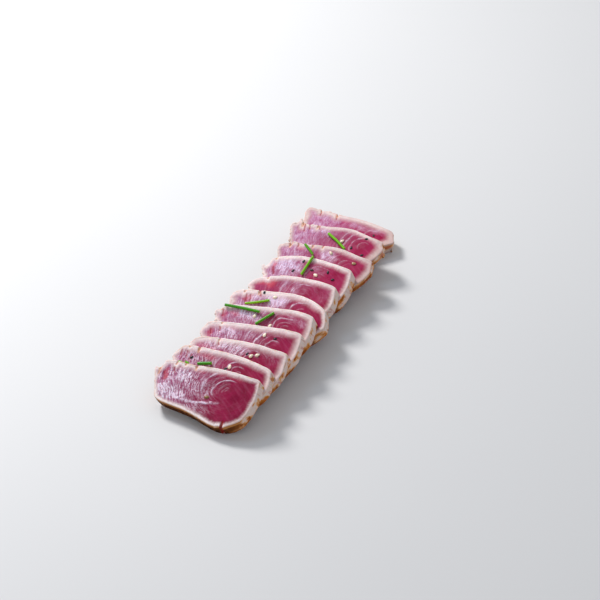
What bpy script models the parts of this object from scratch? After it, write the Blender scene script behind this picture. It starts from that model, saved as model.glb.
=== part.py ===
"""Tuna tataki: eleven seared slices leaning on one another in a row, with cut chives and sesame seeds.

The row runs along +Y, its front slice towards -Y. Each slice has its own frame: the origin at the middle of
its lower back edge, X across the slice, Y up its slope and Z out of its front face.
"""
import math
from collections import namedtuple

import bmesh
import bpy
import numpy as np
from mathutils import Matrix, Vector, noise

# Driving dimensions, in millimetres and degrees
MM = 0.001
TOUCH_GAP = 0.35          # between a slice's back and the edge that it leans on
ROW_END = 57.6            # where the last slice, which lies flat, has its front edge
FOOT = 0.5                # how far a leaning slice is pressed flat where it stands
EDGE_ROUNDING = 0.45      # of a slice's cut edges
RAGGED_LENGTH = 17.0      # of the flaky left end
RAGGED_DEPTH = 0.55       # of the flakes' unevenness there
SKIN_DEPTH = 0.12         # of the unevenness all round
THINNING = 0.8            # of the flaky end, on each face
THINNING_LEAST = 0.65     # of that, before its unevenness
THINNING_WAVE = 0.7
THINNING_POWER = 1.5      # how late the thinning starts
FLAKE_LUMPS = (6.0, 8.0)  # the size of its unevenness, over the face and through the slice
FLAKE_CUTS = (7.5, 14.0)  # from the left tip, where the flaky end is divided so that it can be uneven
FLAKE_LEVELS = (9.0, 18.0)

# Where a slice's back reaches further out than its cut face, or less far, and how closely it keeps to there
FLARE = ((0.6, -0.8), 6)
TAPER = ((0.95, -0.3), 3)

# Modelling
OUTLINE_TOLERANCE = 0.12  # of the facets along an outline
SNAP = 0.05               # within which a cut keeps the points that are already there
MITRE_LIMIT = 0.5         # how far a sharp corner's inset may reach, as the least cosine
CURVE_STEPS = 40          # between two corners of an outline
CHIVE_LIFT = 0.3          # between a chive and the face under it
CHIVE_STEP = 4.0          # between the points along a chive
WHITE_SEED = (3.0, 2.0, 1.1)
BLACK_SEED = (2.8, 1.7, 1.0)
SEED_TAPER = 0.45         # how much narrower a seed is at its point
SEED_SINK = 0.4           # how deep a seed is pressed into the face

# How an outline runs between its measured heights
TOP_STATIONS = (0.62, 0.2, -0.35, -0.85)  # of the top edge's heights, in shares of half the width
UNDERSIDE_START = 14.0                    # from the left tip
UNDERSIDE_SAG = 0.1                       # how far the underside has sunk by its middle
CORNER_ANGLES = (22, 44, 66)              # along the lower right corner
WIDEST_SHARE = 0.62                       # of the right end's height, where the slice is widest
WIDEST_OVER_CORNER = -4.0                 # or this far above the corner's radius
WIDEST_UNDER_SHOULDER = 3.0
SHOULDER_REACH = 1.35                     # how far below the top the shoulder reaches, in its own radii
SHOULDER_SETBACKS = (0.4, 0.7, 2.0, 1.0)  # of the right end from its widest point, going up to the top
SHOULDER_DROP = 0.1                       # where the top edge starts to turn down, in its radii
TIP_STEPS = ((0.0, 1.0), (3.2, 0.72), (7.2, 0.42), (9.8, 0.2))  # in from the tip, and a share of its height
TAB_STEPS = ((4.2, 1.4), (3.0, -0.6), (0.8, 0.0))               # in from the tip, and above the tab
PLAIN_TIP = (1.8, 0.6)                    # in from the tip, and above the middle, where there is no tab
SPLIT_SLANT = 0.12                        # of a split in the top or bottom edge
TOP_ABOVE, BOTTOM_BELOW = 16.0, 10.0      # heights that tell the top edge from the bottom one
WAVE_SIZES = (3.2, 9.0)                   # of the outline's fine and broad unevenness
WAVE_STEPS = (7.3, 3.1, 5.7)              # between the noise of one slice and the next, for three patterns
ELSEWHERE = 100.0                         # added to a distance where a split may not start

# A slice: its thickness and lean, where its middle lies across the row, its width, the height of its top
# edge at five stations from left to right, the radii of its lower and upper right corners, how much further
# its back reaches there (less far if negative), the heights of its flaky end's tip, of the tab beside it (0
# for none) and of its lower left corner, its splits and seeds.
Slice = namedtuple("Slice", "thick lean x width rises corner shoulder flare tip tab heel splits seeds")
# A split: the edge that it starts from, its place along that edge, its width and its depth. One of
# negative depth is a flake that stands out.
Split = namedtuple("Split", "edge place width depth")
# A seed: its kind, its place on the face and its turn.
Seed = namedtuple("Seed", "kind u v turn")
# A chive: the slice that it lies on, its two ends on that face, its bow and its radius.
Chive = namedtuple("Chive", "on start end bow radius")

SLICES = [
    Slice(9.8, 30, 7.7, 77.8, (30.6, 34.3, 38.7, 40.2, 40.4), 18, 2.6, 2.0, 23.5, 24.4, 2.6,
          [Split("top", -35.0, 1.4, 5.2), Split("top", -26.0, 1.6, 2.4), Split("top", -18.8, 1.2, 1.2),
           Split("top", -11.0, 1.4, 3.2), Split("bottom", 25.8, 1.3, 5.2)],
          [Seed("white", 6.4, 17.0, 20)]),
    Slice(9.2, 30, 8.4, 74.8, (31.5, 35.4, 37.7, 37.4, 36.4), 24, 3.4, 2.0, 22.0, 0, 0.1,
          [Split("top", -21.7, 1.4, 3.8), Split("top", -29.0, 1.0, 1.0), Split("left", 16.0, 1.4, 1.2)],
          [Seed("black", -23.7, 25.2, 60), Seed("black", 3.0, 26.3, 35), Seed("white", 5.1, 28.6, 100)]),
    Slice(7.8, 30, 9.3, 72.5, (29.7, 34.7, 38.5, 39.5, 39.8), 24, 2.6, 2.0, 22.5, 0, 0.1,
          [Split("top", -17.8, 1.2, 1.9), Split("left", 20.0, 1.4, 1.6)],
          [Seed("black", 6.4, 30.2, 75), Seed("white", 9.7, 29.6, 65), Seed("white", 13.6, 31.8, 40)]),
    Slice(9.4, 30, 7.8, 73.5, (28.2, 33.8, 38.4, 41.6, 41.9), 24, 2.6, 2.0, 20.0, 0, 0.1,
          [Split("top", -24.6, 1.2, 1.3), Split("left", 15.0, 1.6, 1.4)],
          [Seed("white", 8.8, 32.5, 85), Seed("black", 17.2, 32.7, 20)]),
    Slice(10.8, 30, 5.4, 72.9, (26.5, 32.4, 37.8, 40.7, 40.2), 25, 3.0, 2.0, 20.0, 22.8, 0.1,
          [Split("top", -27.5, 1.2, 1.4), Split("left", 14.0, 1.3, 1.3)],
          [Seed("white", -7.3, 26.6, 95), Seed("white", 6.7, 23.6, 80)]),
    Slice(9.8, 30, 6.0, 76.1, (27.0, 32.6, 37.6, 36.8, 33.6), 26, 4.6, 2.0, 19.5, 0, 0.1,
          [Split("top", -19.0, 1.3, 2.9), Split("top", -29.6, 1.2, 1.7), Split("left", 17.0, 1.4, 1.5)],
          [Seed("white", -6.2, 30.4, 30), Seed("black", -15.4, 31.2, 100)]),
    Slice(9.8, 30, 3.7, 65.8, (25.0, 33.2, 37.1, 38.6, 38.0), 26, 3.0, 2.0, 19.0, 0, 0.1,
          [Split("top", -21.2, 1.2, 1.2), Split("left", 16.0, 1.3, 1.6)],
          []),
    Slice(11.4, 29, 2.0, 68.1, (25.5, 34.0, 37.0, 37.4, 37.0), 18, 2.8, 2.0, 18.5, 19.6, 0.1,
          [Split("top", -26.0, 1.2, 1.3), Split("left", 12.0, 1.3, 1.2)],
          [Seed("black", -9.7, 22.4, 65), Seed("black", -5.8, 31.8, 80), Seed("black", 3.2, 27.6, 10),
           Seed("white", 7.5, 24.9, 170), Seed("black", 15.0, 30.1, 110), Seed("black", 21.0, 26.1, 30)]),
    Slice(9.0, 27, 2.8, 74.6, (28.2, 33.6, 37.8, 37.0, 36.6), 32, 2.0, -2.0, 23.5, 0, 0.1,
          [Split("top", -26.3, 9.0, -1.5), Split("top", -29.1, 1.4, 3.8), Split("top", -12.3, 1.1, 2.4),
           Split("top", -5.3, 1.1, 1.8)],
          [Seed("white", 2.9, 32.3, 150), Seed("white", 22.9, 30.5, 15)]),
    Slice(10.8, 23, -2.2, 74.6, (28.6, 32.8, 37.8, 36.8, 36.0), 34, 2.4, -2.5, 24.5, 0, 0.1,
          [Split("top", -31.6, 5.2, -4.4), Split("top", -29.0, 1.2, 2.6), Split("top", -17.6, 1.3, 2.4)],
          [Seed("white", 5.8, 26.2, 60), Seed("black", 14.7, 23.6, 100), Seed("black", 25.0, 20.7, 40),
           Seed("black", 21.6, 34.4, 20)]),
    Slice(10.0, 0, -9.1, 77.0, (33.8, 35.4, 38.6, 37.8, 36.8), 34, 6.0, -3.0, 31.0, 0, 0.1,
          [Split("top", -27.1, 1.3, 2.4), Split("top", -13.9, 1.4, 3.6)],
          [Seed("black", 21.5, 26.2, 120)]),
]

CHIVES = [
    Chive(2, (-16.8, 22.2), (-7.6, 26.0), 0.0, 1.05),
    Chive(5, (-31.1, 26.2), (-4.9, 30.2), 0.25, 0.95),
    Chive(6, (-24.2, 18.2), (-8.6, 26.6), -0.2, 0.82),
    Chive(5, (-3.3, 20.9), (5.3, 33.2), 0.15, 0.95),
    Chive(9, (-18.1, 31.6), (-8.7, 26.2), 0.2, 0.86),
    Chive(8, (-2.0, 21.3), (-0.5, 37.4), 0.1, 0.9),
    Chive(10, (-6.4, 27.8), (11.2, 20.2), 0.4, 0.98),
    Chive(2, (-30.5, 18.6), (-27.9, 19.0), 0.0, 0.8),
    Chive(2, (-25.7, 20.4), (-22.9, 20.0), 0.0, 0.8),
]


def clear_scene():
    for obj in list(bpy.data.objects):
        bpy.data.objects.remove(obj, do_unlink=True)


def new_collection(name):
    collection = bpy.data.collections.new(name)
    bpy.context.scene.collection.children.link(collection)
    return collection


def material(name, colour, roughness):
    mat = bpy.data.materials.new(name)
    mat.use_nodes = True
    shader = mat.node_tree.nodes["Principled BSDF"]
    shader.inputs["Base Color"].default_value = (*colour, 1.0)
    shader.inputs["Roughness"].default_value = roughness
    mat.diffuse_color = (*colour, 1.0)
    return mat


# The outline of a slice

def smooth_loop(corners):
    """A closed Catmull-Rom curve through the corners, as a dense run of points."""
    knots = np.array(corners)
    before, after, beyond = np.roll(knots, 1, 0), np.roll(knots, -1, 0), np.roll(knots, -2, 0)
    runs = []
    for p0, p1, p2, p3 in zip(before, knots, after, beyond):
        gaps = [math.sqrt(np.hypot(*(b - a))) for a, b in ((p0, p1), (p1, p2), (p2, p3))]
        t0, t1 = 0.0, gaps[0]
        t2, t3 = t1 + gaps[1], t1 + gaps[1] + gaps[2]
        t = np.linspace(t1, t2, CURVE_STEPS, endpoint=False)[:, None]
        a1 = p0 * (t1 - t) / (t1 - t0) + p1 * (t - t0) / (t1 - t0)
        a2 = p1 * (t2 - t) / (t2 - t1) + p2 * (t - t1) / (t2 - t1)
        a3 = p2 * (t3 - t) / (t3 - t2) + p3 * (t - t2) / (t3 - t2)
        b1 = a1 * (t2 - t) / (t2 - t0) + a2 * (t - t0) / (t2 - t0)
        b2 = a2 * (t3 - t) / (t3 - t1) + a3 * (t - t1) / (t3 - t1)
        runs.append(b1 * (t2 - t) / (t2 - t1) + b2 * (t - t1) / (t2 - t1))
    return np.vstack(runs)


def slice_corners(piece, foot):
    """The corners that a slice's outline passes, counter-clockwise from its lower left."""
    half = piece.width / 2
    left, quarter, middle, far, right = piece.rises
    base, upper, turn_in, top_in = SHOULDER_SETBACKS
    start, stop = -half + UNDERSIDE_START, half - base - piece.corner
    sagged = (1 - UNDERSIDE_SAG) * piece.heel - UNDERSIDE_SAG * foot
    corners = [(start, piece.heel), ((start + stop) / 2, sagged), (stop, -foot)]
    for angle in CORNER_ANGLES:
        turn = math.radians(angle)
        corners.append((stop + piece.corner * math.sin(turn), piece.corner * (1 - math.cos(turn)) - foot))
    shoulder = right - SHOULDER_REACH * piece.shoulder
    widest = max(WIDEST_SHARE * right, piece.corner + WIDEST_OVER_CORNER)
    widest = min(widest, shoulder - WIDEST_UNDER_SHOULDER)
    corners += [(half, widest), (half - upper, (widest + shoulder) / 2), (half - turn_in, shoulder)]
    corners.append((half - top_in - piece.shoulder, right - SHOULDER_DROP * piece.shoulder))
    heights = (far, middle, quarter, left)
    corners += [(station * half, height) for station, height in zip(TOP_STATIONS, heights)]
    if piece.tab:
        corners += [(-half + inwards, piece.tab + rise) for inwards, rise in TAB_STEPS]
    else:
        corners.append((-half + PLAIN_TIP[0], (piece.tip + left) / 2 + PLAIN_TIP[1]))
    corners += [(-half + inwards, share * piece.tip) for inwards, share in TIP_STEPS]
    return corners


def add_splits(loop, splits):
    """Cuts a narrow V into the outline for each split."""
    along = np.concatenate([[0.0], np.cumsum(np.hypot(*np.diff(loop, axis=0).T))])
    cut = loop.copy()
    for split in splits:
        if split.edge == "left":
            distance = np.abs(loop[:, 1] - split.place) + ELSEWHERE * (loop[:, 0] > 0)
            inwards = np.array([1.0, 0.0])
        elif split.edge == "top":
            distance = np.abs(loop[:, 0] - split.place) + ELSEWHERE * (loop[:, 1] < TOP_ABOVE)
            inwards = np.array([SPLIT_SLANT, -1.0])
        else:
            distance = np.abs(loop[:, 0] - split.place) + ELSEWHERE * (loop[:, 1] > BOTTOM_BELOW)
            inwards = np.array([-SPLIT_SLANT, 1.0])
        middle = along[np.argmin(distance)]
        share = np.clip(1 - np.abs(along - middle) / (split.width / 2), 0, 1)
        cut += inwards * (share * split.depth)[:, None]
    return cut


def roughen(loop, half, seed):
    """Moves the outline in and out a little, more along the flaky end."""
    ahead, behind = np.roll(loop, -1, 0), np.roll(loop, 1, 0)
    tangent = ahead - behind
    outwards = np.column_stack([tangent[:, 1], -tangent[:, 0]]) / np.hypot(*tangent.T)[:, None]
    ragged = np.clip((-half + RAGGED_LENGTH - loop[:, 0]) / RAGGED_LENGTH, 0, 1)
    amount = SKIN_DEPTH + (RAGGED_DEPTH - SKIN_DEPTH) * ragged
    fine, broad = WAVE_SIZES
    fine_step, broad_step, _ = WAVE_STEPS
    wave = [noise.noise((u / fine, v / fine, fine_step * seed))
            + 0.5 * noise.noise((u / broad, v / broad, broad_step * seed)) for u, v in loop]
    return loop + outwards * (amount * np.array(wave))[:, None]


def simplify(points, tolerance):
    """Keeps only the points that an open run needs to stay within the tolerance."""
    start, end = points[0], points[-1]
    chord = end - start
    offsets = points - start
    distance = np.abs(chord[0] * offsets[:, 1] - chord[1] * offsets[:, 0]) / max(np.hypot(*chord), 1e-9)
    far = int(np.argmax(distance))
    if distance[far] <= tolerance:
        return [start, end]
    return simplify(points[:far + 1], tolerance)[:-1] + simplify(points[far:], tolerance)


def slice_outline(piece, seed):
    foot = FOOT if piece.lean else 0.0
    loop = smooth_loop(slice_corners(piece, foot))
    loop = roughen(loop, piece.width / 2, seed)
    loop = add_splits(loop, piece.splits)
    half_way = len(loop) // 2
    closed = np.vstack([loop, loop[:1]])
    kept = []
    for run in (closed[:half_way + 1], closed[half_way:]):
        kept += simplify(run, OUTLINE_TOLERANCE)[:-1]
    return np.array(kept)


# The solid of a slice

def loft_slice(outline, thick, flare):
    """The outline as a closed slab, each cut edge turned in by a small chamfer. At the lower right, where the
    loin's side slopes, the back is larger than the cut face by the flare, or smaller by a negative one."""
    ahead, behind = np.roll(outline, -1, 0) - outline, outline - np.roll(outline, 1, 0)
    ahead /= np.hypot(*ahead.T)[:, None]
    behind /= np.hypot(*behind.T)[:, None]
    inwards = np.column_stack([-(ahead + behind)[:, 1], (ahead + behind)[:, 0]])
    inwards /= np.maximum(np.hypot(*inwards.T), MITRE_LIMIT)[:, None]
    towards, power = FLARE if flare > 0 else TAPER
    slope = flare * np.clip(-inwards @ np.array(towards), 0, 1)[:, None] ** power
    levels = ((0, EDGE_ROUNDING), (EDGE_ROUNDING, 0), (thick - EDGE_ROUNDING, 0), (thick, EDGE_ROUNDING))
    bm = bmesh.new()
    rings = []
    for height, inset in levels:
        share = height / thick
        ring = outline + (inset + np.maximum(slope * share, slope * (share - 1))) * inwards
        rings.append([bm.verts.new((u * MM, v * MM, height * MM)) for u, v in ring])
    for lower, upper in zip(rings[:-1], rings[1:]):
        for index in range(len(outline)):
            after = (index + 1) % len(outline)
            bm.faces.new((lower[index], lower[after], upper[after], upper[index]))
    bm.faces.new(reversed(rings[0]))
    bm.faces.new(rings[-1])
    return bm


def cut_across(bm, place, normal):
    geometry = bm.verts[:] + bm.edges[:] + bm.faces[:]
    bmesh.ops.bisect_plane(bm, geom=geometry, plane_co=place, plane_no=normal, dist=SNAP * MM)


def thin_flaky_end(bm, piece, seed):
    """Divides the flaky end and sinks its two faces unevenly, most at the tip."""
    half = piece.width / 2
    lump, depth = FLAKE_LUMPS
    for inset in FLAKE_CUTS:
        cut_across(bm, ((-half + inset) * MM, 0, 0), (1, 0, 0))
    for height in FLAKE_LEVELS:
        cut_across(bm, (0, height * MM, 0), (0, 1, 0))
    for vert in bm.verts:
        u, v, w = vert.co / MM
        reach = min(max((-half + RAGGED_LENGTH - u) / RAGGED_LENGTH, 0.0), 1.0)
        if reach == 0.0:
            continue
        wave = noise.noise((u / lump, v / lump, WAVE_STEPS[2] * seed + w / depth))
        share = 1 - 2 * w / piece.thick
        vert.co.z += THINNING * MM * share * (THINNING_LEAST + THINNING_WAVE * wave) * reach ** THINNING_POWER


def stand_on_ground(bm, lean):
    """Cuts the foot flat where the leaning slice stands."""
    turn = math.radians(lean)
    upwards = Vector((0, math.sin(turn), math.cos(turn)))
    geometry = bm.verts[:] + bm.edges[:] + bm.faces[:]
    cut = bmesh.ops.bisect_plane(bm, geom=geometry, plane_co=(0, 0, 0), plane_no=upwards,
                                 dist=SNAP * MM, clear_inner=True)
    rim = [item for item in cut["geom_cut"] if isinstance(item, bmesh.types.BMEdge)]
    for vert in {vert for edge in rim for vert in edge.verts}:
        vert.co -= upwards * vert.co.dot(upwards)
    bmesh.ops.contextual_create(bm, geom=rim)


def seed_mesh(name, size):
    """A seed lying along X, pointed at one end."""
    length, breadth, height = size
    bm = bmesh.new()
    bmesh.ops.create_uvsphere(bm, u_segments=6, v_segments=4, radius=0.5)
    bmesh.ops.rotate(bm, verts=bm.verts, matrix=Matrix.Rotation(math.radians(90), 3, "Y"))
    for vert in bm.verts:
        taper = 1 - SEED_TAPER * (vert.co.x + 0.5) ** 2
        vert.co = Vector((vert.co.x * length, vert.co.y * breadth * taper, vert.co.z * height * taper)) * MM
    mesh = bpy.data.meshes.new(name)
    bm.to_mesh(mesh)
    bm.free()
    return mesh


def fuse_seeds(obj, piece, meshes):
    """Joins the seeds to the face that they lie on, by one union."""
    heap = new_collection(obj.name + "_seeds")
    for number, seed in enumerate(piece.seeds, 1):
        grain = bpy.data.objects.new(f"{obj.name}_seed_{number}", meshes[seed.kind])
        height = (WHITE_SEED if seed.kind == "white" else BLACK_SEED)[2]
        lift = piece.thick + height / 2 - SEED_SINK
        grain.matrix_world = (obj.matrix_world @ Matrix.Translation(Vector((seed.u, seed.v, lift)) * MM)
                              @ Matrix.Rotation(math.radians(seed.turn), 4, "Z"))
        heap.objects.link(grain)
    union = obj.modifiers.new("Seeds", "BOOLEAN")
    union.operation = "UNION"
    union.operand_type = "COLLECTION"
    union.collection = heap
    union.solver = "MANIFOLD"
    bpy.context.view_layer.update()
    depsgraph = bpy.context.evaluated_depsgraph_get()
    fused = bpy.data.meshes.new_from_object(obj.evaluated_get(depsgraph))
    obj.modifiers.clear()
    obj.data = fused
    for grain in list(heap.objects):
        bpy.data.objects.remove(grain, do_unlink=True)
    bpy.data.collections.remove(heap)


def add_slice(number, piece, front, parts, row, mats, seeds):
    name = f"slice_{number:02d}"
    bm = loft_slice(slice_outline(piece, number), piece.thick, piece.flare)
    thin_flaky_end(bm, piece, number)
    if piece.lean:
        stand_on_ground(bm, piece.lean)
    bmesh.ops.triangulate(bm, faces=bm.faces)
    bmesh.ops.recalc_face_normals(bm, faces=bm.faces)
    mesh = bpy.data.meshes.new(name)
    bm.to_mesh(mesh)
    bm.free()
    mesh.materials.append(mats["tuna"])
    obj = bpy.data.objects.new(name, mesh)
    parts.objects.link(obj)
    obj.parent = row
    obj.location = Vector((piece.x, front, 0)) * MM
    obj.rotation_euler = (math.radians(piece.lean), 0, 0)
    bpy.context.view_layer.update()
    if piece.seeds:
        fuse_seeds(obj, piece, seeds)
    return obj


def slice_places():
    """Where each slice's lower back edge stands: each leans on the upper front edge of the one behind."""
    places = [ROW_END]
    for piece, behind in zip(reversed(SLICES[:-1]), reversed(SLICES[1:])):
        turn = math.radians(behind.lean)
        edge_y = places[0] - (behind.thick + TOUCH_GAP) * math.sin(turn)
        edge_z = (behind.thick + TOUCH_GAP) * math.cos(turn)
        places.insert(0, edge_y - edge_z / math.tan(math.radians(piece.lean)))
    return places


# The chives

def add_chive(number, chive, slices, parts, mats):
    """A cut length of chive lying on its slice, as a tube with a slight bow."""
    name = f"chive_{number:02d}"
    start, end = Vector(chive.start), Vector(chive.end)
    side = Vector((start.y - end.y, end.x - start.x)).normalized()
    count = max(3, round((end - start).length / CHIVE_STEP) + 1)
    curve = bpy.data.curves.new(name, "CURVE")
    curve.dimensions = "3D"
    curve.bevel_depth = chive.radius * MM
    curve.bevel_resolution = 2
    curve.use_fill_caps = True
    spline = curve.splines.new("POLY")
    spline.points.add(count - 1)
    lift = SLICES[chive.on - 1].thick + CHIVE_LIFT + chive.radius
    for index, point in enumerate(spline.points):
        share = index / (count - 1)
        place = start.lerp(end, share) + side * chive.bow * math.sin(math.pi * share)
        point.co = (place.x * MM, place.y * MM, lift * MM, 1.0)
    curve.materials.append(mats["chive"])
    obj = bpy.data.objects.new(name, curve)
    parts.objects.link(obj)
    obj.parent = slices[chive.on - 1]
    return obj


def centre_row(row, objects):
    """Moves the whole row so that the middle of its underside is the origin."""
    bpy.context.view_layer.update()
    depsgraph = bpy.context.evaluated_depsgraph_get()
    corners = []
    for obj in objects:
        shown = obj.evaluated_get(depsgraph)
        mesh = bpy.data.meshes.new_from_object(shown)
        corners += [obj.matrix_world @ vert.co for vert in mesh.vertices]
        bpy.data.meshes.remove(mesh)
    low = [min(corner[axis] for corner in corners) for axis in range(2)]
    high = [max(corner[axis] for corner in corners) for axis in range(2)]
    row.location = (-(low[0] + high[0]) / 2, -(low[1] + high[1]) / 2, 0)


def build():
    clear_scene()
    parts = new_collection("tuna_tataki")
    mats = {"tuna": material("seared_tuna", (0.42, 0.07, 0.13), 0.35),
            "chive": material("chive", (0.10, 0.35, 0.03), 0.4)}
    seeds = {"white": seed_mesh("white_seed", WHITE_SEED), "black": seed_mesh("black_seed", BLACK_SEED)}
    row = bpy.data.objects.new("row", None)
    parts.objects.link(row)
    slices = []
    for number, (piece, front) in enumerate(zip(SLICES, slice_places()), 1):
        slices.append(add_slice(number, piece, front, parts, row, mats, seeds))
    chives = [add_chive(number, chive, slices, parts, mats) for number, chive in enumerate(CHIVES, 1)]
    centre_row(row, slices + chives)


build()
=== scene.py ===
import math
from collections import namedtuple

import bpy
import numpy as np
from mathutils import Matrix, Vector


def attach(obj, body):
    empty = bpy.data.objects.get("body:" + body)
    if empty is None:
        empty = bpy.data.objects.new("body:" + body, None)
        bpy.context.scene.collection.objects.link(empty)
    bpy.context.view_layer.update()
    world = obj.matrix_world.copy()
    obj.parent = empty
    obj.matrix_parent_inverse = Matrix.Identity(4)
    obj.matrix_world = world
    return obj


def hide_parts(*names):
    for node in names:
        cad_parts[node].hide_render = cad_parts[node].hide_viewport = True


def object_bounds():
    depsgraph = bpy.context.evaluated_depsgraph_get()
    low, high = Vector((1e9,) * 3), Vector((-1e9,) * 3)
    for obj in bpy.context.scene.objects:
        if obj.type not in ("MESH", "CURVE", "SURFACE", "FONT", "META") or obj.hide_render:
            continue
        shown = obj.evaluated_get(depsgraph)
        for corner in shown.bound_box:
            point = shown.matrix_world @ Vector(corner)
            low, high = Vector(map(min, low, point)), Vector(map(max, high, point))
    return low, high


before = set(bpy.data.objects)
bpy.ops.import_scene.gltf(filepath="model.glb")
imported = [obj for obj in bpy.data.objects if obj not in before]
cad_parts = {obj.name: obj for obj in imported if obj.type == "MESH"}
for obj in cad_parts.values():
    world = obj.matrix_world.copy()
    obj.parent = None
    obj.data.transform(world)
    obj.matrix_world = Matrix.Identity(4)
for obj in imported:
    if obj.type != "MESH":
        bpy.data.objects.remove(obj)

cad_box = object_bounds()
bpy.ops.object.select_all(action="DESELECT")


# The camera and the studio: a long lens looks down on the row from its front right corner, a soft window
# stands on the left, and a white room fills in the rest. The table is a plain pale sheet.

AIM = Vector((0.00035, 0.03008, 0.0))  # the place on the table that the lens and the lamps point at
LENS_HEIGHT, LENS_TURN, LENS_AWAY = math.radians(37.36), math.radians(31.36), 1.6341
LENS_LENGTH, SENSOR_WIDTH = 137.476, 36.0  # mm


def direction(height, turn):
    """The way from the row to something at that height in the sky, turned from -Y towards +X."""
    return Vector((math.sin(turn) * math.cos(height), -math.cos(turn) * math.cos(height), math.sin(height)))


def add_lamp(name, height, turn, away, width, depth, watts, colour):
    """A soft lamp that shines on the row, its height and turn in degrees."""
    towards = direction(math.radians(height), math.radians(turn))
    bpy.ops.object.light_add(type="AREA", location=AIM + away * towards)
    lamp = bpy.context.object
    lamp.name = name
    lamp.rotation_euler = towards.to_track_quat("Z", "Y").to_euler()
    lamp.data.shape = "RECTANGLE"
    lamp.data.size, lamp.data.size_y = width, depth
    lamp.data.energy, lamp.data.color = watts, colour


bpy.ops.object.camera_add(location=AIM + LENS_AWAY * direction(LENS_HEIGHT, LENS_TURN),
                          rotation=(math.pi / 2 - LENS_HEIGHT, 0, LENS_TURN))
camera = bpy.context.object
camera.data.sensor_width, camera.data.lens = SENSOR_WIDTH, LENS_LENGTH
bpy.context.scene.camera = camera

add_lamp("window", height=42, turn=-108, away=1.2, width=0.3, depth=0.3, watts=14.5,
         colour=(1.0, 0.98, 0.97))
add_lamp("sky", height=58, turn=-84, away=1.4, width=0.45, depth=0.45, watts=2.2,
         colour=(0.70, 0.80, 1.0))
add_lamp("bounce", height=25, turn=60, away=1.5, width=1.2, depth=0.8, watts=1.5,
         colour=(1.0, 0.96, 0.98))

room = bpy.data.worlds.new("white_room")
room.use_nodes = True
backdrop = room.node_tree.nodes["Background"]
backdrop.inputs["Color"].default_value = (0.93, 0.96, 1.0, 1.0)
backdrop.inputs["Strength"].default_value = 0.5
bpy.context.scene.world = room
bpy.context.scene.view_settings.view_transform = "Standard"


def feed(socket, value):
    """Links a Paint to a node's input, or sets the input to a plain value."""
    if isinstance(value, Paint):
        value.tree.links.new(value.socket, socket)
    else:
        socket.default_value = value


class Paint:
    """A value or colour inside a material. Arithmetic on it adds the Math nodes."""

    def __init__(self, tree, socket=None):
        self.tree, self.socket = tree, socket

    def make(self, kind, settings=(), inputs=(), output=0):
        """Adds a node with its settings, its inputs by name or number, and gives one of its outputs."""
        node = self.tree.nodes.new("ShaderNode" + kind)
        for key, value in dict(settings).items():
            setattr(node, key, value)
        for key, value in dict(inputs).items():
            feed(node.inputs[key], value)
        return Paint(self.tree, node.outputs[output])

    def maths(self, operation, *terms):
        return self.make("Math", {"operation": operation}, dict(enumerate(terms)))

    def __add__(self, other):
        return self.maths("ADD", self, other)

    def __radd__(self, other):
        return self.maths("ADD", other, self)

    def __sub__(self, other):
        return self.maths("SUBTRACT", self, other)

    def __rsub__(self, other):
        return self.maths("SUBTRACT", other, self)

    def __mul__(self, other):
        return self.maths("MULTIPLY", self, other)

    def __rmul__(self, other):
        return self.maths("MULTIPLY", other, self)

    def between(self, low, high):
        """0 below low, 1 above high, and smooth in between."""
        return self.make("MapRange", {"interpolation_type": "SMOOTHSTEP"}, {0: self, 1: low, 2: high})

    def blend(self, low, high):
        """The colour low where this value is 0, and high where it is 1."""
        ends = [end if isinstance(end, Paint) else (*end, 1.0) for end in (low, high)]
        return self.make("Mix", {"data_type": "RGBA"}, {0: self, 6: ends[0], 7: ends[1]}, output=2)

    def noise(self, size, detail=2.0, roughness=0.5):
        """Cloudy noise from 0 to 1, on this place, its lumps that many units across."""
        return self.make("TexNoise", (), {"Vector": self, "Scale": 1.0 / size, "Detail": detail,
                                          "Roughness": roughness})

    def stretched(self, x, y, z):
        """This place with each axis multiplied."""
        return self.make("VectorMath", {"operation": "MULTIPLY"}, {0: self, 1: (x, y, z)})

    def on_object(self):
        """The place on the piece, in metres."""
        return self.make("TexCoord", output="Object")

    def mark(self, name, output="Fac"):
        """What the mesh keeps under that name for each of its points."""
        return self.make("Attribute", {"attribute_name": name}, output=output)


def new_finish(name):
    """A material, its Principled shader and a Paint to start from."""
    finish = bpy.data.materials.new(name)
    finish.use_nodes = True
    return finish, finish.node_tree.nodes["Principled BSDF"], Paint(finish.node_tree)


def set_shader(shader, values):
    for key, value in values.items():
        feed(shader.inputs[key], value)


bpy.ops.mesh.primitive_plane_add(size=6.0)
table = bpy.context.object
table.name = "table"
table_finish, shader, paint = new_finish("pale_table")
clouds = paint.on_object().noise(0.4)
set_shader(shader, {"Base Color": clouds.blend((0.62, 0.625, 0.63), (0.66, 0.66, 0.66)), "Roughness": 0.6})
table.data.materials.append(table_finish)


# The slices of tuna: a loin seared all round and cut across, raw inside, with a cooked rim, a thin skin and
# flakes that come apart at the left end. Each starts as a copy of its plain solid, which is laid flat,
# remeshed finely, sculpted with its grain, and put back in its place.

GRAIN = 0.42  # mm between the points of a slice's fine surface


def ripple(u, v, size, seed):
    """Smooth random waves from about -1 to 1, their crests that many millimetres apart. Each seed has its
    own pattern, the same in every run."""
    x, y = u / size, v / size
    i, j = np.floor(x), np.floor(y)
    x, y = x - i, y - j

    def corner(a, b):
        spin = np.sin((i + a) * 127.1 + (j + b) * 311.7 + seed * 74.7) * 43758.5453
        angle = 2 * np.pi * (spin - np.floor(spin))
        return np.cos(angle) * (x - a) + np.sin(angle) * (y - b)

    sx, sy = x * x * (3 - 2 * x), y * y * (3 - 2 * y)
    low = corner(0, 0) * (1 - sx) + corner(1, 0) * sx
    high = corner(0, 1) * (1 - sx) + corner(1, 1) * sx
    return 1.5 * (low * (1 - sy) + high * sy)


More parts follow.
